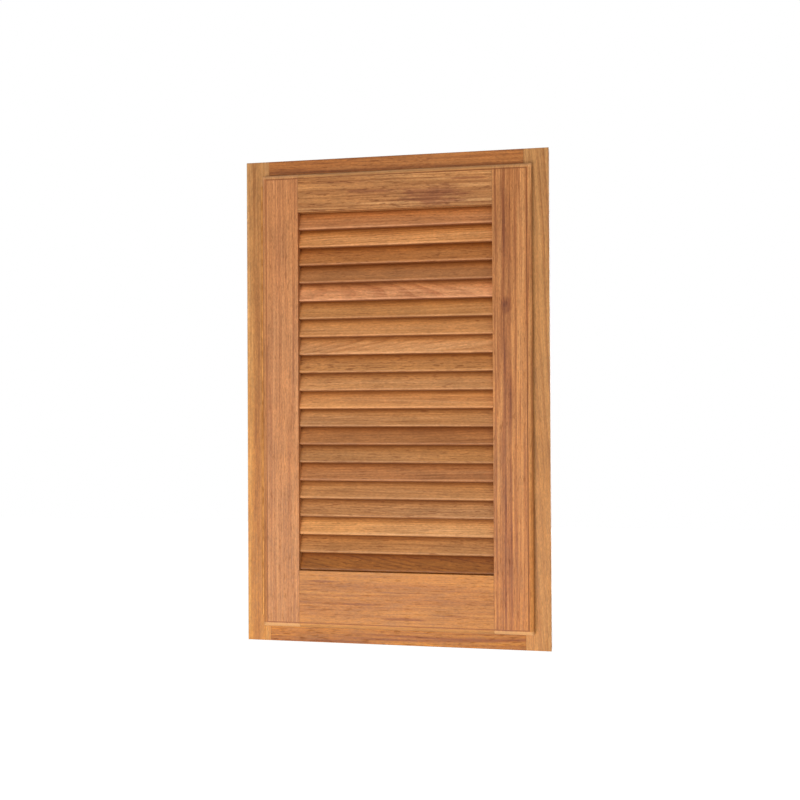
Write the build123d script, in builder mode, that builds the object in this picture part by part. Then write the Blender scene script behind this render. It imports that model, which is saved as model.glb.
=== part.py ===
# Louvred cupboard door, hung in its own flat frame.
# X runs across the door, Y into the wall and Z up, with the front towards -Y.
# The origin is on the frame's back face, at the middle of its bottom rail.
import math
import os

from build123d import *

# Frame, all sizes in millimetres
frame_width = 321.0
frame_height = 511.0
frame_member = 25.4
frame_thickness = 19.0
frame_edge_round = 0.8
frame_tenon_length = 14.0
frame_tenon_height = 17.0
frame_tenon_thickness = 6.0

# Door leaf, with a thinner lip all round that laps over the frame
leaf_width = 284.0
leaf_height = 477.0
hinge_side_margin = 20.2
bottom_margin = 17.2
lip_width = 9.5
lip_thickness = 9.5
leaf_thickness = 19.0
lip_gap = 2.0
edge_round = 5.0
quirk_depth = 1.0
quirk_flat = 0.6
stile_width = 40.0
top_rail_height = 41.0
bottom_rail_height = 60.0

# Mortise and tenon joints of the leaf
tenon_length = 18.0
tenon_thickness = 6.0
tenon_shoulder = 9.0
joint_clearance = 0.1

# Louvre
slat_count = 20
slat_pitch = 18.85
first_slat_edge = 18.75
slat_width = 24.0
slat_thickness = 5.0
slat_edge_round = 2.3
slat_tilt = 22.0
slat_recess = 3.3
housing_depth = 7.0
housing_corner = 1.2
housing_clearance = 0.1
end_play = 0.2
hidden_lip = 2.8
bottom_rebate = 1.6
top_rebate = 5.2
top_rebate_front = 8.5

# Continuous hinge, one knuckle line along the left edge of the leaf
knuckle_radius = 1.7
knuckle_count = 11
knuckle_gap = 0.3
knuckle_side_gap = 0.3
knuckle_face_gap = 0.1
knuckle_clearance = 0.2
pin_radius = 0.9
pin_clearance = 0.05
pin_head_radius = 1.4
pin_head_height = 0.6
plate_thickness = 0.9
hinge_end_margin = 10.5
flange_back = 6.0
door_plate_reach = 9.0
hinge_screw_count = 5
hinge_screw_end = 20.0
screw_head_radius = 1.9
screw_radius = 1.0

# Magnetic catch on the closing side
catch_height = 42.0
catch_width = 12.0
catch_front = 10.0
catch_back = 1.0
catch_corner = 1.5
magnet_height = 26.0
magnet_width = 6.0
magnet_depth = 5.0
magnet_proud = 0.3
strike_height = 34.0
strike_width = 11.0
strike_thickness = 1.0
strike_edge = 1.0
catch_screw_spacing = 33.0

# Places that follow from the sizes
frame_bottom = -frame_member / 2
frame_centre_z = frame_bottom + frame_height / 2
opening_width = frame_width - 2 * frame_member
opening_left = -opening_width / 2
opening_right = opening_width / 2
rail_centres = [0.0, frame_height - frame_member]
frame_tenon_back = (frame_thickness - frame_tenon_thickness) / 2

leaf_left = -frame_width / 2 + hinge_side_margin
leaf_right = leaf_left + leaf_width
leaf_bottom = frame_bottom + bottom_margin
leaf_top = leaf_bottom + leaf_height
leaf_z = (leaf_bottom + leaf_top) / 2
lip_back = frame_thickness + lip_gap
leaf_front = lip_back + lip_thickness
leaf_back = leaf_front - leaf_thickness

louvre_top = leaf_top - top_rail_height
louvre_bottom = leaf_bottom + bottom_rail_height
louvre_width = leaf_width - 2 * stile_width
tilt = math.radians(slat_tilt)
slat_core_width = slat_width - 2 * slat_edge_round
slat_core_thickness = slat_thickness - 2 * slat_edge_round
slat_depth_extent = (
    slat_core_width * math.sin(tilt) + slat_core_thickness * math.cos(tilt) + 2 * slat_edge_round
)
slat_height_extent = (
    slat_core_width * math.cos(tilt) + slat_core_thickness * math.sin(tilt) + 2 * slat_edge_round
)
slat_y = -(leaf_front - slat_recess - slat_depth_extent / 2)
first_slat_z = louvre_top - first_slat_edge + slat_height_extent / 2
slat_heights = [first_slat_z - slat_pitch * index for index in range(slat_count)]

tenon_back = (leaf_front + leaf_back - tenon_thickness) / 2
top_tenon = (louvre_top + tenon_shoulder, leaf_top - tenon_shoulder)
bottom_tenon = (leaf_bottom + tenon_shoulder, louvre_bottom - tenon_shoulder)

hinge_x = leaf_left - knuckle_side_gap - knuckle_radius
hinge_y = -(frame_thickness + knuckle_face_gap + knuckle_radius)
hinge_bottom = leaf_bottom + hinge_end_margin
hinge_length = leaf_height - 2 * hinge_end_margin
knuckle_pitch = hinge_length / knuckle_count
knuckle_length = knuckle_pitch - knuckle_gap
screw_step = (hinge_length - 2 * hinge_screw_end) / (hinge_screw_count - 1)
hinge_screw_heights = [
    hinge_bottom + hinge_screw_end + screw_step * index for index in range(hinge_screw_count)
]
flange_screw_y = -(flange_back + frame_thickness) / 2
door_screw_x = hinge_x + door_plate_reach - 1.4 * screw_head_radius

catch_z = leaf_z
catch_x = opening_right - catch_width / 2
strike_x = leaf_right - lip_width - strike_edge - strike_width / 2
catch_screw_heights = [catch_z - catch_screw_spacing / 2, catch_z + catch_screw_spacing / 2]
catch_screw_y = -(catch_front + catch_back) / 2


def save(part, name):
    """Label one finished piece and write it to its own file."""
    part.label = name
    export_step(part, f"parts/{name}.step")


def panel(left, right, bottom, top):
    """Draw an upright rectangle between two edges each way."""
    with Locations(((left + right) / 2, (bottom + top) / 2)):
        Rectangle(right - left, top - bottom)


def screw_hole(depth):
    """Cut a countersunk hole down from the face that the location's own Z points out of."""
    top = (Align.CENTER, Align.CENTER, Align.MAX)
    Cone(screw_radius, screw_head_radius, plate_thickness, align=top, mode=Mode.SUBTRACT)
    Cylinder(screw_radius, depth, align=top, mode=Mode.SUBTRACT)


os.makedirs("parts", exist_ok=True)

# Frame outline, with its outer front edges eased
with BuildPart() as frame_blank:
    with BuildSketch(Plane.XZ):
        with Locations((0, frame_centre_z)):
            Rectangle(frame_width, frame_height)
    extrude(amount=frame_thickness)
    fillet(frame_blank.faces().sort_by(Axis.Y)[0].edges(), radius=frame_edge_round)

# Frame stiles, full height, mortised for the rails
mortise_half = frame_tenon_height / 2 + joint_clearance
mortise_depth = frame_tenon_length + joint_clearance

with BuildPart() as frame_left_stile:
    with BuildSketch(Plane.XZ):
        panel(-frame_width / 2, opening_left, frame_bottom, frame_bottom + frame_height)
    extrude(amount=frame_thickness)
    add(frame_blank.part, mode=Mode.INTERSECT)
    with BuildSketch(Plane.XZ.offset(frame_tenon_back - joint_clearance)):
        for rail_z in rail_centres:
            panel(opening_left - mortise_depth, opening_left, rail_z - mortise_half, rail_z + mortise_half)
    extrude(amount=frame_tenon_thickness + 2 * joint_clearance, mode=Mode.SUBTRACT)
save(frame_left_stile.part, "frame_left_stile")

with BuildPart() as frame_right_stile:
    with BuildSketch(Plane.XZ):
        panel(opening_right, frame_width / 2, frame_bottom, frame_bottom + frame_height)
    extrude(amount=frame_thickness)
    add(frame_blank.part, mode=Mode.INTERSECT)
    with BuildSketch(Plane.XZ.offset(frame_tenon_back - joint_clearance)):
        for rail_z in rail_centres:
            panel(opening_right, opening_right + mortise_depth, rail_z - mortise_half, rail_z + mortise_half)
    extrude(amount=frame_tenon_thickness + 2 * joint_clearance, mode=Mode.SUBTRACT)
save(frame_right_stile.part, "frame_right_stile")

# Frame rails, butted between the stiles, with a stub tenon at each end
for rail_name, rail_z in zip(("frame_bottom_rail", "frame_top_rail"), rail_centres):
    with BuildPart() as frame_rail:
        with BuildSketch(Plane.XZ):
            with Locations((0, rail_z)):
                Rectangle(opening_width, frame_member)
        extrude(amount=frame_thickness)
        add(frame_blank.part, mode=Mode.INTERSECT)
        with BuildSketch(Plane.XZ.offset(frame_tenon_back)):
            with Locations((0, rail_z)):
                Rectangle(opening_width + 2 * frame_tenon_length, frame_tenon_height)
        extrude(amount=frame_tenon_thickness)
    save(frame_rail.part, rail_name)

# Door leaf in one block: moulded front edge, lip, and the body that enters the frame
with BuildPart() as leaf_blank:
    with BuildSketch(Plane.XZ.offset(lip_back)):
        panel(leaf_left, leaf_right, leaf_bottom, leaf_top)
    extrude(amount=lip_thickness - quirk_depth)
    fillet(leaf_blank.faces().sort_by(Axis.Y)[0].edges(), radius=edge_round)
    face_inset = edge_round + quirk_flat
    with BuildSketch(Plane.XZ.offset(leaf_front - quirk_depth)):
        panel(
            leaf_left + face_inset,
            leaf_right - face_inset,
            leaf_bottom + face_inset,
            leaf_top - face_inset,
        )
    extrude(amount=quirk_depth)
    with BuildSketch(Plane.XZ.offset(leaf_back)):
        panel(
            leaf_left + lip_width,
            leaf_right - lip_width,
            leaf_bottom + lip_width,
            leaf_top - lip_width,
        )
    extrude(amount=lip_back - leaf_back)

# Door stiles: mortised for the rails and housed at an angle for every slat
left_joint_x = leaf_left + stile_width
right_joint_x = leaf_right - stile_width
housing_places = [(slat_y, height) for height in slat_heights]
housing_size = (slat_thickness + 2 * housing_clearance, slat_width + 2 * housing_clearance)

with BuildPart() as door_left_stile:
    with BuildSketch(Plane.XZ.offset(leaf_back)):
        panel(leaf_left, left_joint_x, leaf_bottom, leaf_top)
    extrude(amount=leaf_thickness)
    add(leaf_blank.part, mode=Mode.INTERSECT)
    mortise_left = left_joint_x - tenon_length - joint_clearance
    with BuildSketch(Plane.XZ.offset(tenon_back - joint_clearance)):
        for low, high in (top_tenon, bottom_tenon):
            panel(mortise_left, left_joint_x, low - joint_clearance, high + joint_clearance)
    extrude(amount=tenon_thickness + 2 * joint_clearance, mode=Mode.SUBTRACT)
    with BuildSketch(Plane.YZ.offset(left_joint_x)) as left_housings:
        with Locations(*housing_places):
            Rectangle(*housing_size, rotation=-slat_tilt)
        chamfer(left_housings.vertices(), housing_corner)
    extrude(amount=-housing_depth, mode=Mode.SUBTRACT)
save(door_left_stile.part, "door_left_stile")

with BuildPart() as door_right_stile:
    with BuildSketch(Plane.XZ.offset(leaf_back)):
        panel(right_joint_x, leaf_right, leaf_bottom, leaf_top)
    extrude(amount=leaf_thickness)
    add(leaf_blank.part, mode=Mode.INTERSECT)
    mortise_right = right_joint_x + tenon_length + joint_clearance
    with BuildSketch(Plane.XZ.offset(tenon_back - joint_clearance)):
        for low, high in (top_tenon, bottom_tenon):
            panel(right_joint_x, mortise_right, low - joint_clearance, high + joint_clearance)
    extrude(amount=tenon_thickness + 2 * joint_clearance, mode=Mode.SUBTRACT)
    with BuildSketch(Plane.YZ.offset(right_joint_x)) as right_housings:
        with Locations(*housing_places):
            Rectangle(*housing_size, rotation=-slat_tilt)
        chamfer(right_housings.vertices(), housing_corner)
    extrude(amount=housing_depth, mode=Mode.SUBTRACT)
save(door_right_stile.part, "door_right_stile")

# Door rails, with a tenon at each end and a rebate that hides the slat beside them
with BuildPart() as door_top_rail:
    with BuildSketch(Plane.XZ.offset(leaf_back)):
        panel(left_joint_x, right_joint_x, louvre_top, leaf_top)
    extrude(amount=leaf_thickness)
    add(leaf_blank.part, mode=Mode.INTERSECT)
    with BuildSketch(Plane.XZ.offset(leaf_back)):
        panel(left_joint_x, right_joint_x, louvre_top, louvre_top + top_rebate)
    extrude(amount=leaf_thickness - top_rebate_front, mode=Mode.SUBTRACT)
    with BuildSketch(Plane.XZ.offset(tenon_back)):
        panel(left_joint_x - tenon_length, right_joint_x + tenon_length, *top_tenon)
    extrude(amount=tenon_thickness)
save(door_top_rail.part, "door_top_rail")

with BuildPart() as door_bottom_rail:
    with BuildSketch(Plane.XZ.offset(leaf_back)):
        panel(left_joint_x, right_joint_x, leaf_bottom, louvre_bottom)
    extrude(amount=leaf_thickness)
    add(leaf_blank.part, mode=Mode.INTERSECT)
    with BuildSketch(Plane.XZ.offset(leaf_back)):
        panel(left_joint_x, right_joint_x, louvre_bottom - bottom_rebate, louvre_bottom)
    extrude(amount=leaf_thickness - hidden_lip, mode=Mode.SUBTRACT)
    with BuildSketch(Plane.XZ.offset(tenon_back)):
        panel(left_joint_x - tenon_length, right_joint_x + tenon_length, *bottom_tenon)
    extrude(amount=tenon_thickness)
save(door_bottom_rail.part, "door_bottom_rail")

# Louvre slats, counted from the top, each seated in a pair of angled housings
slat_length = louvre_width + 2 * (housing_depth - end_play)
for index, slat_z in enumerate(slat_heights, start=1):
    with BuildPart() as louvre_slat:
        with BuildSketch(Plane.YZ.offset(left_joint_x - housing_depth + end_play)):
            with Locations((slat_y, slat_z)):
                RectangleRounded(slat_thickness, slat_width, slat_edge_round, rotation=-slat_tilt)
        extrude(amount=slat_length)
    save(louvre_slat.part, f"louvre_slat_{index:02d}")

# Hinge leaf on the frame: a strip behind the lip, folded back along the opening's edge
strip_left = hinge_x + knuckle_radius + knuckle_clearance
strip_right = opening_left + plate_thickness
strip_y = -(frame_thickness + plate_thickness / 2)
flange_faces = [
    Plane(origin=(strip_right, flange_screw_y, height), z_dir=(1, 0, 0))
    for height in hinge_screw_heights
]
knuckle_bottoms = [
    hinge_bottom + knuckle_pitch * index + knuckle_gap / 2 for index in range(knuckle_count)
]

with BuildPart() as hinge_frame_leaf:
    with BuildSketch(Plane.XY.offset(hinge_bottom)):
        with Locations(((strip_left + strip_right) / 2, strip_y)):
            Rectangle(strip_right - strip_left, plate_thickness)
        with Locations((strip_right - plate_thickness / 2, flange_screw_y)):
            Rectangle(plate_thickness, frame_thickness - flange_back)
    extrude(amount=hinge_length)
    with Locations(*flange_faces):
        screw_hole(2 * plate_thickness)
    for knuckle_bottom in knuckle_bottoms[0::2]:
        with BuildSketch(Plane.XY.offset(knuckle_bottom)):
            with Locations(((hinge_x + strip_left) / 2, strip_y)):
                Rectangle(strip_left - hinge_x, plate_thickness)
            with Locations((hinge_x, hinge_y)):
                Circle(knuckle_radius)
                Circle(pin_radius + pin_clearance, mode=Mode.SUBTRACT)
        extrude(amount=knuckle_length)
save(hinge_frame_leaf.part, "hinge_frame_leaf")

# Hinge leaf on the door: a flat strip on the back of the lip
door_plate_y = -(lip_back - plate_thickness / 2)
door_plate_faces = [
    Plane(origin=(door_screw_x, plate_thickness - lip_back, height), z_dir=(0, 1, 0))
    for height in hinge_screw_heights
]

with BuildPart() as hinge_door_leaf:
    with BuildSketch(Plane.XY.offset(hinge_bottom)):
        with Locations(((strip_left + hinge_x + door_plate_reach) / 2, door_plate_y)):
            Rectangle(hinge_x + door_plate_reach - strip_left, plate_thickness)
    extrude(amount=hinge_length)
    with Locations(*door_plate_faces):
        screw_hole(2 * plate_thickness)
    for knuckle_bottom in knuckle_bottoms[1::2]:
        with BuildSketch(Plane.XY.offset(knuckle_bottom)):
            with Locations(((hinge_x + strip_left) / 2, door_plate_y)):
                Rectangle(strip_left - hinge_x, plate_thickness)
            with Locations((hinge_x, hinge_y)):
                Circle(knuckle_radius)
                Circle(pin_radius + pin_clearance, mode=Mode.SUBTRACT)
        extrude(amount=knuckle_length)
save(hinge_door_leaf.part, "hinge_door_leaf")

# Hinge pin, headed over at both ends
with BuildPart() as hinge_pin:
    with BuildSketch(Plane.XY.offset(hinge_bottom)):
        with Locations((hinge_x, hinge_y)):
            Circle(pin_radius)
    extrude(amount=hinge_length)
    for head_bottom in (hinge_bottom - pin_head_height, hinge_bottom + hinge_length):
        with BuildSketch(Plane.XY.offset(head_bottom)):
            with Locations((hinge_x, hinge_y)):
                Circle(pin_head_radius)
        extrude(amount=pin_head_height)
save(hinge_pin.part, "hinge_pin")

# Catch on the frame: a moulded block that holds the magnet, with two countersunk holes
catch_faces = [
    Plane(origin=(opening_right - catch_width, catch_screw_y, height), z_dir=(-1, 0, 0))
    for height in catch_screw_heights
]
magnet_pocket_bottom = catch_front - magnet_depth

with BuildPart() as catch_body:
    with BuildSketch(Plane.XZ.offset(catch_back)):
        with Locations((catch_x, catch_z)):
            RectangleRounded(catch_width, catch_height, catch_corner)
    extrude(amount=catch_front - catch_back)
    with BuildSketch(Plane.XZ.offset(magnet_pocket_bottom)):
        with Locations((catch_x, catch_z)):
            Rectangle(magnet_width, magnet_height)
    extrude(amount=magnet_depth, mode=Mode.SUBTRACT)
    with Locations(*catch_faces):
        screw_hole(catch_width)
save(catch_body.part, "catch_body")

with BuildPart() as catch_magnet:
    with BuildSketch(Plane.XZ.offset(magnet_pocket_bottom)):
        with Locations((catch_x, catch_z)):
            Rectangle(magnet_width - joint_clearance, magnet_height - joint_clearance)
    extrude(amount=magnet_depth + magnet_proud)
save(catch_magnet.part, "catch_magnet")

# Strike plate on the back of the leaf, which the magnet holds
strike_face = Plane(origin=(strike_x, strike_thickness - leaf_back, catch_z), z_dir=(0, 1, 0))

with BuildPart() as strike_plate:
    with BuildSketch(Plane.XZ.offset(leaf_back - strike_thickness)):
        with Locations((strike_x, catch_z)):
            RectangleRounded(strike_width, strike_height, catch_corner)
    extrude(amount=strike_thickness)
    with Locations(strike_face):
        screw_hole(2 * strike_thickness)
save(strike_plate.part, "strike_plate")
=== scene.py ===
# Louvred cupboard door: finishes, screws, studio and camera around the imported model.
# Metres, front towards -Y, Z up, origin on the frame's back face at its bottom rail.
import math

import bpy
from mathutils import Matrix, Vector


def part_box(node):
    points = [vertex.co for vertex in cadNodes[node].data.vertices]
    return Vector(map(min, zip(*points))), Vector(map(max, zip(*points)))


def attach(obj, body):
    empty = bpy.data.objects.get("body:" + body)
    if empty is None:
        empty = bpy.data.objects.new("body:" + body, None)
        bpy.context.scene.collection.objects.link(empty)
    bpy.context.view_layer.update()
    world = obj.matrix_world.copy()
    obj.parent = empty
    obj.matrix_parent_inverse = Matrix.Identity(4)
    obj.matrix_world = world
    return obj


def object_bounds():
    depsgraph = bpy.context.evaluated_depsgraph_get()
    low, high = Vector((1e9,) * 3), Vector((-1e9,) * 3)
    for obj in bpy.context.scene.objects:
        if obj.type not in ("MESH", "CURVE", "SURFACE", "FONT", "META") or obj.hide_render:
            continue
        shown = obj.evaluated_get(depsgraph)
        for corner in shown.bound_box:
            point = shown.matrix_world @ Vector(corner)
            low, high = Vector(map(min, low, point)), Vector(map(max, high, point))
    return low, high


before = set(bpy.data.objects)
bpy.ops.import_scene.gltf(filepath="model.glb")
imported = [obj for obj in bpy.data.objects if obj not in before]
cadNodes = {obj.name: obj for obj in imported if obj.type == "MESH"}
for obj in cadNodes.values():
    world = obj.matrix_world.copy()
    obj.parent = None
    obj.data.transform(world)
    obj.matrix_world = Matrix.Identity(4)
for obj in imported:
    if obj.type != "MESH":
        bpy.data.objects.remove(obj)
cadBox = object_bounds()
mm = 0.001
white = (1.0, 1.0, 1.0, 1.0)


def srgb(red, green, blue):
    # a colour as an eye names it, 0 to 255, turned to the linear values that shaders take
    steps = [value / 255 for value in (red, green, blue)]
    return [step / 12.92 if step <= 0.04045 else ((step + 0.055) / 1.055) ** 2.4 for step in steps] + [1.0]


def addNode(tree, kind, inputs=None, **settings):
    node = tree.nodes.new(kind)
    for key, value in settings.items():
        setattr(node, key, value)
    for key, value in (inputs or {}).items():
        if isinstance(value, bpy.types.NodeSocket):
            tree.links.new(value, node.inputs[key])
        else:
            node.inputs[key].default_value = value
    return node


def doMath(tree, operation, a, b=0.0, c=0.0, clamp=False):
    node = addNode(tree, "ShaderNodeMath", {0: a, 1: b, 2: c}, operation=operation, use_clamp=clamp)
    return node.outputs[0]


def add(tree, a, b):
    return doMath(tree, "ADD", a, b)


def subtract(tree, a, b):
    return doMath(tree, "SUBTRACT", a, b)


def multiply(tree, a, b):
    return doMath(tree, "MULTIPLY", a, b)


def centred(tree, noise):
    # noise runs about a half, and this makes it run about nought
    return subtract(tree, noise, 0.5)


def remap(tree, value, low, high, newLow=0.0, newHigh=1.0, smooth=True):
    kind = "SMOOTHSTEP" if smooth else "LINEAR"
    values = {0: value, 1: low, 2: high, 3: newLow, 4: newHigh}
    return addNode(tree, "ShaderNodeMapRange", values, interpolation_type=kind).outputs[0]


def vectorMath(tree, operation, a, b):
    return addNode(tree, "ShaderNodeVectorMath", {0: a, 1: b}, operation=operation).outputs


def mixColour(tree, factor, a, b, blend="MIX"):
    settings = {"data_type": "RGBA", "blend_type": blend, "clamp_factor": True}
    return addNode(tree, "ShaderNodeMix", {0: factor, 6: a, 7: b}, **settings).outputs[2]


def addSockets(tree, way, kinds):
    for name, kind in kinds.items():
        tree.interface.new_socket(name, in_out=way, socket_type=kind)


def newMaterial(name):
    material = bpy.data.materials.new(name)
    material.use_nodes = True
    tree = material.node_tree
    return material, tree, tree.nodes["Principled BSDF"]


def easedNormal(tree, radius):
    return addNode(tree, "ShaderNodeBevel", {"Radius": radius}, samples=4).outputs[0]


def edgeWear(tree, eased, alike, strength):
    # nought on a flat face, rising to the strength at an edge, where the two normals are less alike
    flat = addNode(tree, "ShaderNodeNewGeometry").outputs["Normal"]
    cosine = vectorMath(tree, "DOT_PRODUCT", eased, flat)["Value"]
    return remap(tree, cosine, *alike, 0.0, strength)


def addBump(tree, shader, height, normal, strength, distance):
    values = {"Strength": strength, "Distance": distance, "Height": height, "Normal": normal}
    tree.links.new(addNode(tree, "ShaderNodeBump", values).outputs[0], shader.inputs["Normal"])


def addObject(name, data):
    thing = bpy.data.objects.new(name, data)
    bpy.context.scene.collection.objects.link(thing)
    return thing


# Teak: growth rings round a pith line, drawn-out streaks, short flecks, pores and slow changes of colour.

# noise drawn out along the fibres: cycles per metre along them and across, then how it is made
plainNoise = {"detail": 2.0, "roughness": 0.5, "seed": 0.0, "distortion": 0.0}
grainLayers = {
    "slow": dict(along=5.0, across=22.0, detail=1.0, roughness=0.4),
    "quick": dict(along=22.0, across=70.0, seed=7.0),
    "band": dict(along=3.0, across=80.0, seed=23.0),
    "tint": dict(along=4.0, across=26.0, detail=1.0, seed=31.0),
    "mottle": dict(along=28.0, across=70.0, detail=3.0, roughness=0.55, seed=53.0, distortion=0.4),
    "streak": dict(along=7.0, across=420.0, detail=4.0, roughness=0.58, seed=11.0, distortion=0.2),
    "fleck": dict(along=300.0, across=820.0, roughness=0.6, seed=61.0),
    "pore": dict(along=95.0, across=820.0, detail=1.0, roughness=0.4, seed=41.0),
    "fibre": dict(along=50.0, across=1150.0, roughness=0.6, seed=3.0),
    "markWander": dict(along=7.0, across=10.0, seed=71.0),
    "markBreak": dict(along=16.0, across=480.0, detail=3.0, roughness=0.6, seed=77.0),
    "patchEdge": dict(along=60.0, across=420.0, detail=3.0, roughness=0.6, seed=91.0),
}
seedMove = (1.0, 1.7, 2.3)  # how many cycles one step of seed moves the noise

# ranges give from, to and, where they aren't nought and one, what those two become
teakGrain = {
    "ringPush": 10.0 * mm,  # how far slow noise pushes the rings about
    "ringRipple": 1.2 * mm,  # and quick noise
    "lateWood": (0.35, 0.92),  # where a ring darkens, as a share of its width
    "ringEnd": (0.93, 1.0, 1.0, 0.0),  # and where it is pale again
    "ringStep": 0.37,  # how fast the strength changes from ring to ring
    "ringDetail": 3.0,
    "ringStrength": (0.32, 0.62, 0.35, 1.0),
    "darkBands": (0.38, 0.66),
    "darkStreaks": (0.47, 0.70),
    "paleStreaks": (0.50, 0.32),
    "darkShare": 0.8,
    "paleShare": 1.1,
    "fibreLevel": (0.25, 0.75, 0.86, 1.14),
    "fleckLevel": (0.25, 0.75, 0.78, 1.18),
    "mottleLevel": (0.25, 0.75, 0.86, 1.12),
    "tint": (0.3, 0.7),
    "tintWarm": [1.04, 1.0, 0.92, 1.0],
    "tintCool": [0.97, 0.99, 1.08, 1.0],
    "tintShare": 0.8,
    "pores": (0.60, 0.68),
    "poreColour": srgb(112, 58, 26),
    "poreShare": 0.6,
    "roughness": (0.2, 0.8, 0.40, 0.56),
    "poreRoughness": 0.25,
    "ringHeight": 0.35,
    "poreDepth": 0.9,
}


def stretched(tree, vector, layer, seedShift=0.0):
    # the fibres run along the vector's X
    look = dict(plainNoise, **grainLayers[layer])
    seed = look["seed"] + seedShift
    scaled = vectorMath(tree, "MULTIPLY", vector, (look["along"], look["across"], look["across"]))[0]
    seeded = vectorMath(tree, "ADD", scaled, [seed * share for share in seedMove])[0]
    values = {"Vector": seeded, "Scale": 1.0, "Detail": look["detail"]}
    values.update({"Roughness": look["roughness"], "Distortion": look["distortion"]})
    return addNode(tree, "ShaderNodeTexNoise", values).outputs[0]


def makeTeakGroup():
    tree = bpy.data.node_groups.new("teakGrain", "ShaderNodeTree")
    wanted = {"Vector": "NodeSocketVector"}
    wanted.update({name: "NodeSocketColor" for name in ("Light", "Body", "Dark")})
    wanted.update({name: "NodeSocketFloat" for name in ("Ring Width", "Rings", "Streaks", "Bands", "Pores")})
    addSockets(tree, "INPUT", wanted)
    results = {"Colour": "NodeSocketColor", "Roughness": "NodeSocketFloat", "Height": "NodeSocketFloat"}
    addSockets(tree, "OUTPUT", results)
    given = tree.nodes.new("NodeGroupInput").outputs
    vector = given["Vector"]
    look = teakGrain

    # rings: distance from the pith line, pushed about by slow and by quick noise
    parts = addNode(tree, "ShaderNodeSeparateXYZ", {0: vector}).outputs
    square = add(tree, multiply(tree, parts[1], parts[1]), multiply(tree, parts[2], parts[2]))
    radius = doMath(tree, "SQRT", square)
    push = multiply(tree, centred(tree, stretched(tree, vector, "slow")), look["ringPush"])
    ripple = multiply(tree, centred(tree, stretched(tree, vector, "quick")), look["ringRipple"])
    warped = add(tree, add(tree, radius, push), ripple)
    count = doMath(tree, "DIVIDE", warped, given["Ring Width"])
    phase = doMath(tree, "FRACT", count)
    line = multiply(tree, remap(tree, phase, *look["lateWood"]), remap(tree, phase, *look["ringEnd"]))
    values = {"W": multiply(tree, count, look["ringStep"]), "Scale": 1.0, "Detail": look["ringDetail"]}
    uneven = addNode(tree, "ShaderNodeTexNoise", values, noise_dimensions="1D").outputs[0]
    ringShade = multiply(tree, line, remap(tree, uneven, *look["ringStrength"]))

    # wide bands and narrow streaks darken the wood as the rings do, and other streaks make it paler
    band = stretched(tree, vector, "band")
    streak = stretched(tree, vector, "streak")
    shade = multiply(tree, ringShade, given["Rings"])
    shade = doMath(tree, "MULTIPLY_ADD", remap(tree, band, *look["darkBands"]), given["Bands"], shade)
    shade = doMath(tree, "MULTIPLY_ADD", remap(tree, streak, *look["darkStreaks"]), given["Streaks"], shade)
    shade = doMath(tree, "MULTIPLY", shade, look["darkShare"], clamp=True)
    lift = multiply(tree, remap(tree, streak, *look["paleStreaks"]), given["Streaks"])
    lift = doMath(tree, "MULTIPLY", lift, look["paleShare"], clamp=True)
    colour = mixColour(tree, shade, given["Body"], given["Dark"])
    colour = mixColour(tree, lift, colour, given["Light"])

    # single fibres, short flecks and a soft mottle vary how light it is, and a slow tint how warm
    fibre = stretched(tree, vector, "fibre")
    fleck = stretched(tree, vector, "fleck")
    mottle = stretched(tree, vector, "mottle")
    level = remap(tree, fibre, *look["fibreLevel"], smooth=False)
    level = multiply(tree, level, remap(tree, fleck, *look["fleckLevel"], smooth=False))
    level = multiply(tree, level, remap(tree, mottle, *look["mottleLevel"], smooth=False))
    grey = addNode(tree, "ShaderNodeCombineColor", {0: level, 1: level, 2: level}).outputs[0]
    colour = mixColour(tree, 1.0, colour, grey, "MULTIPLY")
    tint = remap(tree, stretched(tree, vector, "tint"), *look["tint"])
    tint = mixColour(tree, tint, look["tintWarm"], look["tintCool"])
    colour = mixColour(tree, look["tintShare"], colour, tint, "MULTIPLY")

    # pores: short dark dashes, rougher and deeper than the wood
    pore = remap(tree, stretched(tree, vector, "pore"), *look["pores"])
    dark = multiply(tree, pore, given["Pores"])
    colour = mixColour(tree, multiply(tree, dark, look["poreShare"]), colour, look["poreColour"])
    rough = remap(tree, fibre, *look["roughness"], smooth=False)
    rough = add(tree, rough, multiply(tree, dark, look["poreRoughness"]))
    height = add(tree, fibre, multiply(tree, ringShade, look["ringHeight"]))
    height = subtract(tree, height, multiply(tree, pore, look["poreDepth"]))

    outlet = tree.nodes.new("NodeGroupOutput")
    for index, value in enumerate((colour, rough, height)):
        tree.links.new(value, outlet.inputs[index])
    return tree


teakGroup = makeTeakGroup()

# wood tones as the eye names them: light, body and dark grain of each
tones = {
    "golden": (srgb(224, 161, 98), srgb(204, 138, 76), srgb(156, 90, 40)),
    "straw": (srgb(226, 170, 108), srgb(204, 143, 80), srgb(160, 98, 46)),
    "tan": (srgb(212, 152, 92), srgb(190, 128, 70), srgb(142, 84, 38)),
    "rose": (srgb(220, 156, 104), srgb(199, 134, 83), srgb(148, 84, 46)),
    "orange": (srgb(224, 154, 88), srgb(203, 133, 68), srgb(152, 86, 34)),
    "brown": (srgb(196, 134, 80), srgb(175, 112, 60), srgb(122, 68, 32)),
    "olive": (srgb(197, 140, 86), srgb(175, 119, 67), srgb(126, 76, 38)),
    "pale": (srgb(236, 178, 118), srgb(220, 156, 94), srgb(170, 106, 54)),
}

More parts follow.
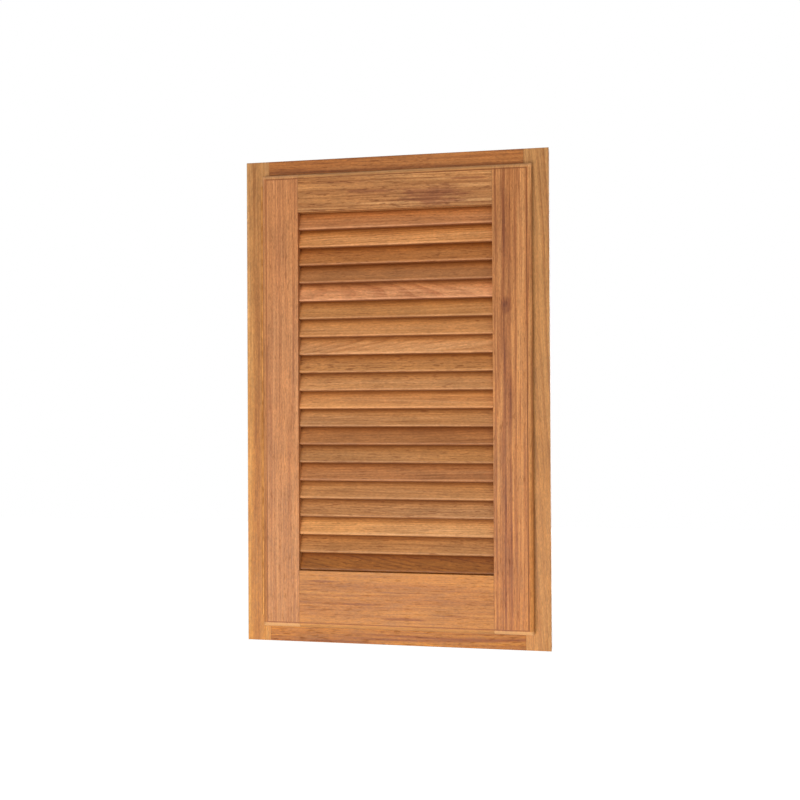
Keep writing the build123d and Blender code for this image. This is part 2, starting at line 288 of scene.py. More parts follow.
# the looks of edges, marks and joints; a reach is two distances (mm) between which an effect comes or goes
teakFinish = {
    "edgeRadius": 0.7 * mm,
    "edgeAlike": (0.985, 0.80),  # cosines between which an edge counts as rubbed
    "edgeStrength": 0.35,
    "edgeShine": 0.15,
    "bump": 0.25,
    "bumpDistance": 0.2 * mm,
    "specular": 0.28,
    "coat": 0.05,
    "coatRoughness": 0.35,
}
markLook = {
    "seedStep": 9.0,
    "wander": 2.0,  # how far it wanders, in half widths
    "core": 0.3,  # the share of its half width at full strength
    "break": (0.36, 0.60, 0.25, 1.0),
}
patchLook = {
    "ragged": 4.0,
    "edge": (1.5, 0.2),  # squares of the distance, in half sizes, between which a patch comes in
}
jointLook = {
    "reach": (0.15, 0.7),
    "strength": 0.45,
    "colour": srgb(110, 62, 32),
}
mouldingLook = {
    "frontReach": (6.5, 5.5),  # behind the leaf's front face
    # painted shade in the groove inside the leaf's rounded edge
    "groovePlace": 5.3,  # in from the leaf's edge
    "grooveShadeReach": (0.25, 1.0),
    "grooveShadeStrength": 0.75,
    "grooveShadeColour": srgb(140, 76, 34),
    # painted highlight along the leaf's top and bottom edges, stronger on a stile, whose end grain there is
    # also paler
    "edgeHighlightReach": (4.8, 3.6),
    "edgeHighlightColour": srgb(230, 174, 114),
    "edgeHighlightStile": (0.7, 0.4),  # strength along the bottom and the top edge, where a stile shows its end grain
    "edgeHighlightRail": (0.25, 0.3),
}
# painted light on the slats: a highlight on the nose, warm bounced light on the face, shadow under the slat
# above and on the underside
slatLook = {
    "tilt": 22.0,  # degrees from upright
    "noseHighlightReach": (0.0, 1.1),
    "noseHighlightStrength": 0.12,
    "faceReach": (0.3, 1.5),
    "bouncedLightReach": (2.4, 5.6),
    "bouncedLightTone": [1.04, 0.93, 0.72, 1.0],
    "aboveShadowReach": (3.8, 7.0),
    "aboveShadowStrength": 0.82,
    "aboveShadowColour": srgb(106, 48, 6),
    "undersideShadowReach": (5.0, 3.5),
    "undersideShadowFacing": (-0.35, -0.85),
    "undersideShadowStrength": 0.8,
    "undersideShadowColour": srgb(94, 40, 4),
}


redShare = 0.3  # what warmth adds to red, as a share of what it takes from blue


def shift(gain, warmth):
    return [gain * (1 + redShare * warmth), gain, gain * (1 - warmth), 1.0]


def shoulders(leftStile, rightStile):
    # where a rail meets the stiles on its two sides
    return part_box(leftStile)[1][0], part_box(rightStile)[0][0]


frameShoulders = shoulders("frame_left_stile", "frame_right_stile")
doorShoulders = shoulders("door_left_stile", "door_right_stile")
frameLow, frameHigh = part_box("frame_left_stile")
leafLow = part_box("door_left_stile")[0]
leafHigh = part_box("door_right_stile")[1]


def reach(pair, start=0.0):
    return [(start + value) * mm for value in pair]


def addMarks(tree, colour, fibres, across, board, paler, darker):
    # heartwood streaks that wander and come and go along the board
    for index, (middle, halfWidth, strength) in enumerate(board.get("marks", ())):
        seedShift = markLook["seedStep"] * index
        wander = centred(tree, stretched(tree, fibres, "markWander", seedShift))
        broken = remap(tree, stretched(tree, fibres, "markBreak", seedShift), *markLook["break"])
        aside = subtract(tree, across, middle * mm)
        off = doMath(tree, "MULTIPLY_ADD", wander, markLook["wander"] * halfWidth * mm, aside)
        core = markLook["core"] * halfWidth * mm
        streak = remap(tree, doMath(tree, "ABSOLUTE", off), halfWidth * mm, core, 0.0, abs(strength))
        tone = darker if strength > 0 else paler
        colour = mixColour(tree, multiply(tree, streak, broken), colour, tone, "MULTIPLY")
    return colour


def addPatches(tree, colour, fibres, place, board, darker):
    # dark patches and pin knots with ragged edges
    ragged = centred(tree, stretched(tree, fibres, "patchEdge"))
    for middleX, middleZ, halfX, halfZ, strength in board["patches"]:
        offX = doMath(tree, "DIVIDE", subtract(tree, place[0], middleX * mm), halfX * mm)
        offZ = doMath(tree, "DIVIDE", subtract(tree, place[2], middleZ * mm), halfZ * mm)
        off = add(tree, multiply(tree, offX, offX), multiply(tree, offZ, offZ))
        off = doMath(tree, "MULTIPLY_ADD", ragged, patchLook["ragged"], off)
        patch = remap(tree, off, *patchLook["edge"], 0.0, strength)
        colour = mixColour(tree, patch, colour, board.get("patchTone", darker), "MULTIPLY")
    return colour


def addJoints(tree, colour, along, joints):
    # the board darkens in the last fraction of a millimetre before each joint
    gaps = [doMath(tree, "ABSOLUTE", subtract(tree, along, joint)) for joint in joints]
    nearest = doMath(tree, "MINIMUM", *gaps)
    seam = remap(tree, nearest, *reach(jointLook["reach"]), jointLook["strength"], 0.0)
    return mixColour(tree, seam, colour, jointLook["colour"])


def addMoulding(tree, colour, place, edgeHighlight):
    # a painted highlight on the leaf's top and bottom edges, partly a stile's paler end grain, and painted
    # shade in the groove inside its rounded edge
    look = mouldingLook
    fromLeft = subtract(tree, place[0], leafLow[0])
    fromRight = subtract(tree, leafHigh[0], place[0])
    fromBottom = subtract(tree, place[2], leafLow[2])
    fromTop = subtract(tree, leafHigh[2], place[2])
    inFront = remap(tree, place[1], *reach(look["frontReach"], leafLow[1] / mm))
    # painted highlight on the rounded top and bottom edges, with a stile's paler end grain there
    highlightBelow = remap(tree, fromBottom, *reach(look["edgeHighlightReach"]), 0.0, edgeHighlight[0])
    highlightAbove = remap(tree, fromTop, *reach(look["edgeHighlightReach"]), 0.0, edgeHighlight[1])
    edge = multiply(tree, add(tree, highlightBelow, highlightAbove), inFront)
    colour = mixColour(tree, edge, colour, look["edgeHighlightColour"])
    sideways = doMath(tree, "MINIMUM", fromLeft, fromRight)
    upright = doMath(tree, "MINIMUM", fromBottom, fromTop)
    nearest = doMath(tree, "MINIMUM", sideways, upright)
    # painted shade in the groove inside the rounded edge
    off = doMath(tree, "ABSOLUTE", subtract(tree, nearest, look["groovePlace"] * mm))
    grooveShade = remap(tree, off, *reach(look["grooveShadeReach"]), look["grooveShadeStrength"], 0.0)
    return mixColour(tree, multiply(tree, grooveShade, inFront), colour, look["grooveShadeColour"])


def addSlatShade(tree, colour, place, board, lightTone):
    # painted light on each slat: a painted highlight along the nose, the face warmer with painted bounced
    # light and then dark with painted shadow under the slat above, and painted shadow on the underside near
    # the nose
    look = slatLook
    nose = board["nose"]
    # painted highlight: the nose is made paler
    wearAndHighlight = remap(tree, place[1], *reach(look["noseHighlightReach"], nose), look["noseHighlightStrength"], 0.0)
    colour = mixColour(tree, wearAndHighlight, colour, lightTone)
    tilt = math.radians(look["tilt"])
    toBack = subtract(tree, place[1], board["middle"][1] * mm)
    toTop = multiply(tree, subtract(tree, place[2], board["middle"][2] * mm), math.sin(tilt))
    faceward = doMath(tree, "MULTIPLY_ADD", toBack, -math.cos(tilt), toTop)
    onFace = remap(tree, faceward, *reach(look["faceReach"]))
    # painted bounced light: the face behind the nose turns warmer
    bouncedLight = multiply(tree, onFace, remap(tree, place[1], *reach(look["bouncedLightReach"], nose)))
    colour = mixColour(tree, bouncedLight, colour, look["bouncedLightTone"], "MULTIPLY")
    # painted shadow: the top of the face goes dark under the slat above
    aboveShadow = remap(tree, place[1], *reach(look["aboveShadowReach"], nose), 0.0, look["aboveShadowStrength"])
    colour = mixColour(tree, multiply(tree, onFace, aboveShadow), colour, look["aboveShadowColour"])
    # painted shadow: the underside goes dark near the nose
    normal = addNode(tree, "ShaderNodeNewGeometry").outputs["Normal"]
    upward = addNode(tree, "ShaderNodeSeparateXYZ", {0: normal}).outputs[2]
    facing = remap(tree, upward, *look["undersideShadowFacing"], 0.0, look["undersideShadowStrength"])
    undersideShadow = multiply(tree, remap(tree, place[1], *reach(look["undersideShadowReach"], nose)), facing)
    return mixColour(tree, undersideShadow, colour, look["undersideShadowColour"])


def makeTeak(name, board):
    material, tree, shader = newMaterial(name)
    lightTone, bodyTone, darkTone = tones[board["tone"]]
    paler = [light / body for light, body in zip(lightTone, bodyTone)]
    darker = [dark / body for dark, body in zip(darkTone, bodyTone)]
    isStile = board["grain"] == "z"
    slope, dip = board["lean"]
    if isStile:
        turn = (math.radians(dip), math.radians(-90 + slope), 0.0)
    else:
        turn = (0.0, math.radians(slope), math.radians(dip))
    coordinates = addNode(tree, "ShaderNodeTexCoord").outputs["Object"]
    values = {"Vector": coordinates, "Location": reach(board["pith"]), "Rotation": turn}
    fibres = addNode(tree, "ShaderNodeMapping", values, vector_type="TEXTURE").outputs[0]
    values = {"Vector": fibres, "Light": lightTone, "Body": bodyTone, "Dark": darkTone}
    values.update({"Ring Width": board["ring"] * mm, "Rings": board["rings"], "Streaks": board["streaks"]})
    values.update({"Bands": board["bands"], "Pores": board["pores"]})
    grain = addNode(tree, "ShaderNodeGroup", values, node_tree=teakGroup).outputs
    place = addNode(tree, "ShaderNodeSeparateXYZ", {0: coordinates}).outputs
    across, along = (place[0], place[2]) if isStile else (place[2], place[0])

    colour = addMarks(tree, grain["Colour"], fibres, across, board, paler, darker)
    if "patches" in board:
        colour = addPatches(tree, colour, fibres, place, board, darker)
    colour = mixColour(tree, 1.0, colour, shift(board["gain"], board["warmth"]), "MULTIPLY")
    # painted light: the stile's colour shifts from its low end to its high end, warmer towards the bottom,
    # partly its own tone
    if "ends" in board:
        lowEnd, highEnd = [shift(*end) for end in board["ends"]]
        share = remap(tree, along, frameLow[2], frameHigh[2], smooth=False)
        colour = mixColour(tree, 1.0, colour, mixColour(tree, share, lowEnd, highEnd), "MULTIPLY")
    if "joints" in board:
        colour = addJoints(tree, colour, along, board["joints"])
    if "moulded" in board:
        edgeHighlight = mouldingLook["edgeHighlightStile"] if isStile else mouldingLook["edgeHighlightRail"]
        colour = addMoulding(tree, colour, place, edgeHighlight)
    if "nose" in board:
        colour = addSlatShade(tree, colour, place, board, lightTone)

    # eased edges: a little lighter and smoother where hands rub them
    eased = easedNormal(tree, teakFinish["edgeRadius"])
    wearAndHighlight = edgeWear(tree, eased, teakFinish["edgeAlike"], teakFinish["edgeStrength"])
    colour = mixColour(tree, wearAndHighlight, colour, lightTone)
    rough = subtract(tree, grain["Roughness"], multiply(tree, wearAndHighlight, teakFinish["edgeShine"]))
    tree.links.new(colour, shader.inputs["Base Color"])
    tree.links.new(rough, shader.inputs["Roughness"])
    addBump(tree, shader, grain["Height"], eased, teakFinish["bump"], teakFinish["bumpDistance"])
    shader.inputs["Specular IOR Level"].default_value = teakFinish["specular"]
    shader.inputs["Coat Weight"].default_value = teakFinish["coat"]
    shader.inputs["Coat Roughness"].default_value = teakFinish["coatRoughness"]
    return material


def dress(nodeName, material):
    mesh = cadNodes[nodeName].data
    mesh.materials.clear()
    mesh.materials.append(material)


# Boards. pith is a point on the tree's middle (mm) and lean its slope and dip (degrees). ring is how wide the
# rings are (mm), and rings, streaks, bands and pores are strengths. gain is how light the board is and warmth
# how red, both fitted board by board to the photograph; ends gives both again, for the frame's low and high
# end, partly the board's own tone and partly painted light, warmer towards the bottom. marks are streaks:
# place across, half width (mm) and strength, dark above nought and pale below. patches and pin knots are
# place x and z, half length, half height (mm) and strength.
boards = {
    "frame_left_stile": dict(
        tone="straw", grain="z", pith=(-197.5, -15, 0), lean=(0.1, 0.1),
        gain=0.955, warmth=0.08, ends=((0.885, 0.5), (0.885, -0.18)),
        ring=8.4, rings=0.2, streaks=0.2, bands=0.2, pores=0.2,
        marks=((-149.5, 5.5, 0.6), (-158.5, 4.2, -1.0), (-138.5, 2.6, -0.6)),
    ),
    "frame_right_stile": dict(
        tone="straw", grain="z", pith=(112, 10, 60), lean=(-3.2, 1.2),
        gain=0.87, warmth=0.18, ends=((1.0, 0.0), (1.06, -0.25)),
        ring=5.6, rings=0.7, streaks=0.22, bands=0.3, pores=0.35,
        marks=((138.5, 2.6, -0.3),),
    ),
    "frame_top_rail": dict(
        tone="brown", grain="x", pith=(0, 40, 560), lean=(0.5, 0.3), gain=1.0, warmth=0.2,
        ring=3.0, rings=0.45, streaks=0.5, bands=0.5, pores=0.8, joints=frameShoulders,
    ),
    "frame_bottom_rail": dict(
        tone="golden", grain="x", pith=(0, 40, -60), lean=(-0.6, 0.3), gain=0.665, warmth=0.78,
        ring=3.2, rings=0.65, streaks=0.55, bands=0.7, pores=0.8, joints=frameShoulders,
    ),
    "door_left_stile": dict(
        tone="rose", grain="z", pith=(-230, 10, 0), lean=(0.2, 0.4),
        gain=0.945, warmth=0.02, ends=((0.95, 0.26), (1.01, -0.02)),
        ring=2.4, rings=0.25, streaks=0.45, bands=0.25, pores=0.55, moulded=True,
    ),
    "door_right_stile": dict(
        tone="rose", grain="z", pith=(80, 20, 0), lean=(0.35, 0.4),
        gain=0.905, warmth=0.36, ends=((0.93, 0.13), (1.05, -0.23)),
        ring=3.4, rings=0.45, streaks=0.55, bands=0.3, pores=0.6, moulded=True,
        marks=(
            (116.5, 8.5, 0.7), (116.0, 1.8, 0.7), (107.0, 1.4, 0.8), (121.5, 1.3, 0.8),
            (127.0, 1.2, 0.5), (131.5, 4.0, -0.5), (141.2, 2.4, -1.0),
        ),
        patches=((117.0, 338.0, 6.0, 8.0, 0.7), (117.0, 339.0, 2.4, 3.2, 0.6)),
    ),
    "door_top_rail": dict(
        tone="tan", grain="x", pith=(0, 20, 540), lean=(0.6, 0.3), gain=0.985, warmth=-0.04,
        ring=3.0, rings=0.5, streaks=0.8, bands=0.3, pores=1.0, joints=doorShoulders, moulded=True,
        patchTone=[0.60, 0.46, 0.46, 1.0],
        patches=(
            (45.0, 452.0, 32.0, 10.0, 0.9), (-20.0, 459.5, 32.0, 2.2, 0.8),
            (82.0, 468.5, 24.0, 1.2, 0.8), (-60.0, 470.0, 30.0, 1.0, 0.6),
        ),
    ),
    "door_bottom_rail": dict(
        tone="golden", grain="x", pith=(0, 30, -50), lean=(-0.5, 0.3), gain=0.80, warmth=0.44,
        ring=3.6, rings=0.35, streaks=0.26, bands=0.5, pores=0.5, joints=doorShoulders, moulded=True,
        patches=(
            (-75.0, 54.0, 16.0, 0.9, 0.8), (12.0, 17.0, 22.0, 1.4, 0.8), (60.0, 22.0, 28.0, 1.2, 0.7),
            (-40.0, 31.0, 26.0, 1.0, 0.6), (20.0, 44.0, 30.0, 0.9, 0.5),
        ),
    ),
}
for nodeName, board in boards.items():
    dress(nodeName, makeTeak(nodeName + "Teak", board))
print("frame and door members finished")

# Slats, from the top. rise is how far the pith lies above a slat's middle (mm); the rest is as for boards.
slats = [
    dict(tone="rose", gain=0.983, warmth=0.04, rise=30, lean=(0.8, 0.6), ring=3.0, rings=0.4, pores=0.6),
    dict(tone="orange", gain=1.255, warmth=-0.27, rise=45, lean=(-1.5, 1.2), ring=2.6, rings=0.6, pores=0.6),
    dict(tone="brown", gain=1.014, warmth=0.14, rise=-40, lean=(0.4, 0.6), ring=2.8, rings=0.35, pores=1.0),
    dict(tone="brown", gain=0.995, warmth=-0.08, rise=60, lean=(0.3, 0.6), ring=2.6, rings=0.25, pores=0.5),
    dict(tone="rose", gain=1.347, warmth=-0.12, rise=-6, lean=(5.5, 3.0), ring=2.6, rings=0.6, pores=0.4),
    dict(tone="tan", gain=1.071, warmth=-0.05, rise=50, lean=(-0.4, 0.6), ring=2.8, rings=0.3, pores=0.4),
    dict(
        tone="orange", gain=1.134, warmth=-0.39, rise=70, lean=(0.3, 0.6), ring=3.0, rings=0.2, pores=0.3,
        patches=((87.5, 323.0, 2.4, 0.9, 0.9),),
    ),
    dict(tone="golden", gain=1.259, warmth=-0.26, rise=2, lean=(-2.6, 6.0), ring=3.4, rings=0.55, pores=0.3),
    dict(tone="tan", gain=1.07, warmth=-0.03, rise=40, lean=(0.4, 0.6), ring=2.8, rings=0.25, pores=1.0),
    dict(tone="olive", gain=1.413, warmth=-0.15, rise=55, lean=(-0.3, 0.6), ring=2.8, rings=0.25, pores=0.7),
    dict(tone="orange", gain=1.27, warmth=-0.32, rise=35, lean=(0.7, 0.6), ring=3.2, rings=0.3, pores=0.3),
    dict(
        tone="tan", gain=1.125, warmth=-0.26, rise=65, lean=(0.6, 1.5), ring=2.6, rings=0.4, pores=0.4,
        patches=((31.0, 231.0, 4.0, 0.9, 0.9),),
    ),
    dict(tone="brown", gain=0.987, warmth=0.02, rise=20, lean=(-0.9, 1.5), ring=2.8, rings=0.4, pores=0.4),
    dict(tone="olive", gain=1.104, warmth=0.0, rise=60, lean=(0.3, 0.6), ring=2.8, rings=0.3, pores=0.7),
    dict(tone="brown", gain=1.189, warmth=-0.11, rise=30, lean=(-0.8, 0.6), ring=3.0, rings=0.45, pores=0.6),
    dict(tone="tan", gain=1.114, warmth=-0.14, rise=50, lean=(0.4, 0.6), ring=2.8, rings=0.3, pores=0.4),
    dict(tone="olive", gain=1.289, warmth=-0.14, rise=12, lean=(1.4, 2.5), ring=2.6, rings=0.7, pores=0.9),
    dict(tone="pale", gain=0.987, warmth=-0.02, rise=45, lean=(-0.5, 0.6), ring=2.4, rings=0.45, pores=0.5),
    dict(tone="olive", gain=1.222, warmth=0.0, rise=50, lean=(0.6, 0.6), ring=2.8, rings=0.4, pores=0.9),
    dict(tone="brown", gain=0.649, warmth=0.5, rise=-8, lean=(5.0, 4.0), ring=2.8, rings=0.8, pores=0.9),
]
slatStock = {"grain": "x", "streaks": 0.28, "bands": 0.32}
slatPith = {"start": -300.0, "step": 37.0, "behind": 14.0}  # each slat is cut from another part of the tree
for index, slat in enumerate(slats, start=1):
    nodeName = f"louvre_slat_{index:02d}"
    low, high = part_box(nodeName)
    middle = (low + high) / 2 / mm
    pithX = index * slatPith["step"] + slatPith["start"]
    board = dict(slatStock, **slat)
    board["pith"] = (pithX, middle[1] + slatPith["behind"], middle[2] + slat["rise"])
    board["nose"] = low[1] / mm
    board["middle"] = middle
    dress(nodeName, makeTeak(f"slatTeak{index:02d}", board))
print("slats finished")

# Metals and the catch.

metals = {
    "hingeBrass": dict(
        colour=srgb(190, 136, 78), dull=srgb(168, 116, 64), roughness=0.60, brushed="z", wear=0.05,
    ),
    "screwBrass": dict(
        colour=srgb(222, 172, 104), dull=srgb(160, 110, 60), roughness=0.28, brushed="y", wear=0.4,
    ),
    "strikeSteel": dict(
        colour=srgb(172, 172, 170), dull=srgb(134, 134, 133), roughness=0.36, brushed="z", wear=0.4,
    ),
    "magnetBlack": dict(
        colour=srgb(70, 70, 74), dull=srgb(40, 40, 43), roughness=0.50, brushed="x", wear=0.4,
    ),
}
metalLook = {
    "lineAcross": 900.0,  # brush lines, cycles per metre across them and along
    "lineAlong": 12.0,
    "lineDetail": 2.0,
    "cloudScale": 90.0,
    "cloudDetail": 4.0,
    "tarnish": (0.40, 0.68),
    "tarnishRoughness": 0.12,
    "lines": (0.2, 0.8),
    "smoother": 0.06,
    "rougher": 0.08,
    "edgeRadius": 0.25 * mm,
    "edgeAlike": (0.98, 0.75),
    "bump": 0.12,
    "bumpDistance": 0.1 * mm,
}
plasticLook = {
    "colour": srgb(92, 56, 34),
    "paler": 1.5,
    "grainScale": 2400.0,
    "grainDetail": 2.0,
    "cloudScale": 60.0,
    "cloudDetail": 3.0,
    "cloud": (0.3, 0.7),
    "roughness": (0.3, 0.7, 0.42, 0.58),
    "edgeRadius": 0.5 * mm,
    "bump": 0.3,
    "bumpDistance": 0.05 * mm,
}


def evenNoise(tree, vector, scale, detail):
    values = {"Vector": vector, "Scale": scale, "Detail": detail}
    return addNode(tree, "ShaderNodeTexNoise", values).outputs[0]


def makeMetal(name, metal):
    # rolled or brushed metal: fine lines along one axis, a cloudy tarnish and brighter rubbed edges
    look = metalLook
    material, tree, shader = newMaterial(name)
    coordinates = addNode(tree, "ShaderNodeTexCoord").outputs["Object"]
    stretch = [look["lineAlong"] if axis == metal["brushed"] else look["lineAcross"] for axis in "xyz"]
    scaled = vectorMath(tree, "MULTIPLY", coordinates, stretch)[0]
    lines = evenNoise(tree, scaled, 1.0, look["lineDetail"])
    cloud = evenNoise(tree, coordinates, look["cloudScale"], look["cloudDetail"])
    eased = easedNormal(tree, look["edgeRadius"])
    wearAndHighlight = edgeWear(tree, eased, look["edgeAlike"], metal["wear"])
    tarnish = remap(tree, cloud, *look["tarnish"])
    base = mixColour(tree, tarnish, metal["colour"], metal["dull"])
    base = mixColour(tree, wearAndHighlight, base, metal["colour"])
    smoothest = metal["roughness"] - look["smoother"]
    roughest = metal["roughness"] + look["rougher"]
    rough = remap(tree, lines, *look["lines"], smoothest, roughest)
    rough = add(tree, rough, multiply(tree, tarnish, look["tarnishRoughness"]))
    tree.links.new(base, shader.inputs["Base Color"])
    tree.links.new(rough, shader.inputs["Roughness"])
    shader.inputs["Metallic"].default_value = 1.0
    addBump(tree, shader, lines, eased, look["bump"], look["bumpDistance"])
    return material


def makePlastic(name):
    # moulded plastic: fine grain and faint flow clouds
    look = plasticLook
    material, tree, shader = newMaterial(name)
    coordinates = addNode(tree, "ShaderNodeTexCoord").outputs["Object"]
    grain = evenNoise(tree, coordinates, look["grainScale"], look["grainDetail"])
    cloud = evenNoise(tree, coordinates, look["cloudScale"], look["cloudDetail"])
    paler = [min(1.0, value * look["paler"]) for value in look["colour"]]
    colour = mixColour(tree, remap(tree, cloud, *look["cloud"]), look["colour"], paler)
    tree.links.new(colour, shader.inputs["Base Color"])
    tree.links.new(remap(tree, grain, *look["roughness"]), shader.inputs["Roughness"])
    addBump(tree, shader, grain, easedNormal(tree, look["edgeRadius"]), look["bump"], look["bumpDistance"])
    return material


finishes = {name: makeMetal(name, metal) for name, metal in metals.items()}
finishes["catchPlastic"] = makePlastic("catchPlastic")
fittings = {
    "hinge_frame_leaf": "hingeBrass",
    "hinge_door_leaf": "hingeBrass",
    "hinge_pin": "hingeBrass",
    "catch_body": "catchPlastic",
    "catch_magnet": "magnetBlack",
    "strike_plate": "strikeSteel",
}
for nodeName, finish in fittings.items():
    dress(nodeName, finishes[finish])
print("hinge and catch finished")

# Screws, set in the plates' countersunk holes by one geometry tree.

screwSizes = {
    "Neck Radius": 0.98 * mm,
    "Head Radius": 1.86 * mm,
    "Head Depth": 0.86 * mm,
    "Crown": 0.16 * mm,
    "Slot Width": 0.42 * mm,
    "Slot Depth": 0.34 * mm,
}
screwForm = {
    "rimSides": 40,
    "crownSteps": ((0.65, 0.86), (0.35, 0.72)),  # share of the crown's height, and what its top shrinks to
    "slotLength": 2.4,  # in head radii, so that the cutter passes the rim
    "slotHeight": 2.0,  # in slot depths, as its middle is at the crown's top
    "slotTurn": 3.1,  # radians, nearly half a turn
}


def moved(tree, geometry, translation):
    values = {"Geometry": geometry, "Translation": translation}
    return addNode(tree, "GeometryNodeTransform", values).outputs[0]


def makeScrewTree(material):
    tree = bpy.data.node_groups.new("screwRow", "GeometryNodeTree")
    wanted = {"Count": "NodeSocketInt", "Seed": "NodeSocketInt"}
    wanted.update({name: "NodeSocketVector" for name in ("Start", "Step", "Facing")})
    wanted.update({name: "NodeSocketFloat" for name in screwSizes})
    addSockets(tree, "INPUT", wanted)
    addSockets(tree, "OUTPUT", {"Geometry": "NodeSocketGeometry"})
    given = tree.nodes.new("NodeGroupInput").outputs

    # head: a cone up from the neck, then a low crown in two steps
    values = {"Vertices": screwForm["rimSides"], "Depth": given["Head Depth"]}
    values.update({"Radius Top": given["Head Radius"], "Radius Bottom": given["Neck Radius"]})
    cone = addNode(tree, "GeometryNodeMeshCone", values, fill_type="NGON").outputs
    down = addNode(tree, "ShaderNodeVectorMath", {0: (0, 0, -1), 3: given["Head Depth"]}, operation="SCALE")
    mesh = moved(tree, cone["Mesh"], down.outputs[0])
    top = cone["Top"]
    for share, shrink in screwForm["crownSteps"]:
        values = {"Mesh": mesh, "Selection": top, "Individual": False}
        values.update({"Offset": (0, 0, 1), "Offset Scale": multiply(tree, given["Crown"], share)})
        raised = addNode(tree, "GeometryNodeExtrudeMesh", values, mode="FACES").outputs
        top = raised["Top"]
        values = {"Geometry": raised["Mesh"], "Selection": top, "Scale": shrink}
        mesh = addNode(tree, "GeometryNodeScaleElements", values).outputs[0]
    length = multiply(tree, given["Head Radius"], screwForm["slotLength"])
    height = multiply(tree, given["Slot Depth"], screwForm["slotHeight"])
    size = addNode(tree, "ShaderNodeCombineXYZ", {0: length, 1: given["Slot Width"], 2: height})
    cutter = addNode(tree, "GeometryNodeMeshCube", {"Size": size.outputs[0]})
    lift = addNode(tree, "ShaderNodeCombineXYZ", {2: given["Crown"]})
    values = {"Mesh 1": mesh, "Mesh 2": moved(tree, cutter.outputs["Mesh"], lift.outputs[0])}
    head = addNode(tree, "GeometryNodeMeshBoolean", values, operation="DIFFERENCE").outputs["Mesh"]

    # one head at each hole, its slot left wherever it came to rest
    values = {"Count": given["Count"], "Start Location": given["Start"], "Offset": given["Step"]}
    row = addNode(tree, "GeometryNodeMeshLine", values, mode="OFFSET")
    values = {"Points": row.outputs[0], "Instance": head, "Rotation": given["Facing"]}
    placed = addNode(tree, "GeometryNodeInstanceOnPoints", values)
    values = {2: 0.0, 3: screwForm["slotTurn"], "Seed": given["Seed"]}
    chance = addNode(tree, "FunctionNodeRandomValue", values, data_type="FLOAT")
    spin = addNode(tree, "ShaderNodeCombineXYZ", {2: chance.outputs[1]})
    values = {"Instances": placed.outputs[0], "Rotation": spin.outputs[0]}
    turned = addNode(tree, "GeometryNodeRotateInstances", values)
    real = addNode(tree, "GeometryNodeRealizeInstances", {"Geometry": turned.outputs[0]})
    finished = addNode(tree, "GeometryNodeSetMaterial", {"Geometry": real.outputs[0], "Material": material})
    outlet = tree.nodes.new("NodeGroupOutput")
    tree.links.new(finished.outputs[0], outlet.inputs[0])
    return tree


# millimetres, and degrees for the way the heads face
screwRows = {
    "hingeScrewsFrame": {
        "body": "frame", "Count": 5, "Seed": 3,
        "Start": (-134.2, -12.5, 35.0), "Step": (0, 0, 104.0), "Facing": (0, 90, 0),
    },
    "hingeScrewsLeaf": {
        "body": "leaf", "Count": 5, "Seed": 5,
        "Start": (-135.96, -20.1, 35.0), "Step": (0, 0, 104.0), "Facing": (-90, 0, 0),
    },
    "catchScrews": {
        "body": "frame", "Count": 2, "Seed": 8,
        "Start": (123.1, -5.5, 226.5), "Step": (0, 0, 33.0), "Facing": (0, -90, 0),
    },
    "strikeScrew": {
        "body": "leaf", "Count": 1, "Seed": 2,
        "Start": (127.7, -10.5, 243.0), "Step": (0, 0, 0), "Facing": (-90, 0, 0),
    },
}
screwTree = makeScrewTree(finishes["screwBrass"])


def addScrews(name, row):
    holder = addObject(name, bpy.data.meshes.new(name + "Holder"))
    modifier = holder.modifiers.new("screwRow", "NODES")
    modifier.node_group = screwTree
    values = dict(screwSizes, Count=row["Count"], Seed=row["Seed"])
    values["Start"] = reach(row["Start"])
    values["Step"] = reach(row["Step"])
    values["Facing"] = [math.radians(angle) for angle in row["Facing"]]
    for socket in screwTree.interface.items_tree:
        if socket.in_out == "INPUT":
            modifier[socket.identifier] = values[socket.name]
    graph = bpy.context.evaluated_depsgraph_get()
    holder.data = bpy.data.meshes.new_from_object(holder.evaluated_get(graph))
    holder.modifiers.clear()
    holder.data.name = name
    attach(holder, row["body"])
    return holder


for name, row in screwRows.items():
    screws = addScrews(name, row)
    print(name, len(screws.data.polygons), "faces")

# Studio: pale floor, white surroundings and soft light.

studio = {
    "floorDrop": 0.75,
    "floorSize": 14.0,
    "floorColour": srgb(232, 232, 232),
    "floorRoughness": 0.9,
    "floorGlow": 0.74,
    "worldLight": 0.32,
    "lampTarget": (0, 0, 0.24),
}
lamps = {
    "keyLamp": dict(power=23.0, size=0.9, place=(-0.4, -1.8, -0.3)),
    "fillLamp": dict(power=10.0, size=1.8, place=(1.3, -1.9, 0.3)),
    "backLamp": dict(power=30.0, size=1.6, place=(0.6, 2.4, 0.25)),
}


def seenRay(tree):
    # one for what the camera sees, also by way of gloss and glass, and nought for light on the door
    rays = addNode(tree, "ShaderNodeLightPath").outputs
    bounced = doMath(tree, "MAXIMUM", rays["Is Glossy Ray"], rays["Is Transmission Ray"])
    return doMath(tree, "MAXIMUM", rays["Is Camera Ray"], bounced)


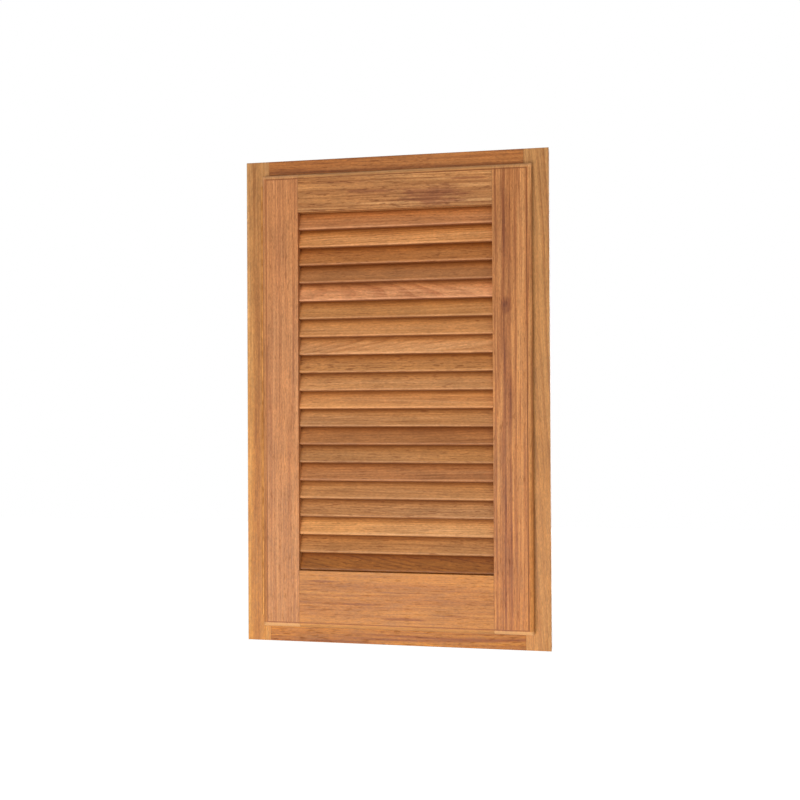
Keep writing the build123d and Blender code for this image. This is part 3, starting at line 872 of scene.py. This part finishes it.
def addFloor():
    size = studio["floorSize"] / 2
    depth = cadBox[0][2] - studio["floorDrop"]
    corners = [(-size, -size, depth), (size, -size, depth), (size, size, depth), (-size, size, depth)]
    mesh = bpy.data.meshes.new("studioFloor")
    mesh.from_pydata(corners, [], [(0, 1, 2, 3)])
    material, tree, shader = newMaterial("studioFloorPaint")
    shader.inputs["Base Color"].default_value = studio["floorColour"]
    shader.inputs["Roughness"].default_value = studio["floorRoughness"]
    shader.inputs["Emission Color"].default_value = white
    tree.links.new(multiply(tree, seenRay(tree), studio["floorGlow"]), shader.inputs["Emission Strength"])
    mesh.materials.append(material)
    addObject("studioFloor", mesh)


def addWorld():
    world = bpy.data.worlds.new("studioWorld")
    world.use_nodes = True
    bpy.context.scene.world = world
    tree = world.node_tree
    tree.nodes.clear()
    strength = remap(tree, seenRay(tree), 0.0, 1.0, studio["worldLight"], 1.0, smooth=False)
    sky = addNode(tree, "ShaderNodeBackground", {"Color": white, "Strength": strength})
    outlet = addNode(tree, "ShaderNodeOutputWorld")
    tree.links.new(sky.outputs[0], outlet.inputs[0])


def addLamp(name, settings):
    data = bpy.data.lights.new(name, "AREA")
    data.shape = "SQUARE"
    data.size = settings["size"]
    data.energy = settings["power"]
    lamp = addObject(name, data)
    lamp.location = settings["place"]
    aim = Vector(studio["lampTarget"]) - Vector(settings["place"])
    lamp.rotation_euler = aim.to_track_quat("-Z", "Y").to_euler()


addFloor()
addWorld()
for name, settings in lamps.items():
    addLamp(name, settings)
print("studio ready")

# Camera, from the four corners of the frame in the photograph.

cameraSettings = {
    "place": (0.18728, -1.00232, 0.23545),
    "turn": (90.4142, 0.2875, 10.4503),
    "lens": 43.2,
    "sensor": 36.0,
    "nearest": 0.01,
}
cameraData = bpy.data.cameras.new("camera")
cameraData.sensor_width = cameraSettings["sensor"]
cameraData.lens = cameraSettings["lens"]
cameraData.clip_start = cameraSettings["nearest"]
camera = addObject("camera", cameraData)
camera.location = cameraSettings["place"]
camera.rotation_euler = [math.radians(angle) for angle in cameraSettings["turn"]]
bpy.context.scene.camera = camera
bpy.context.scene.view_settings.view_transform = "Standard"
print("camera placed")
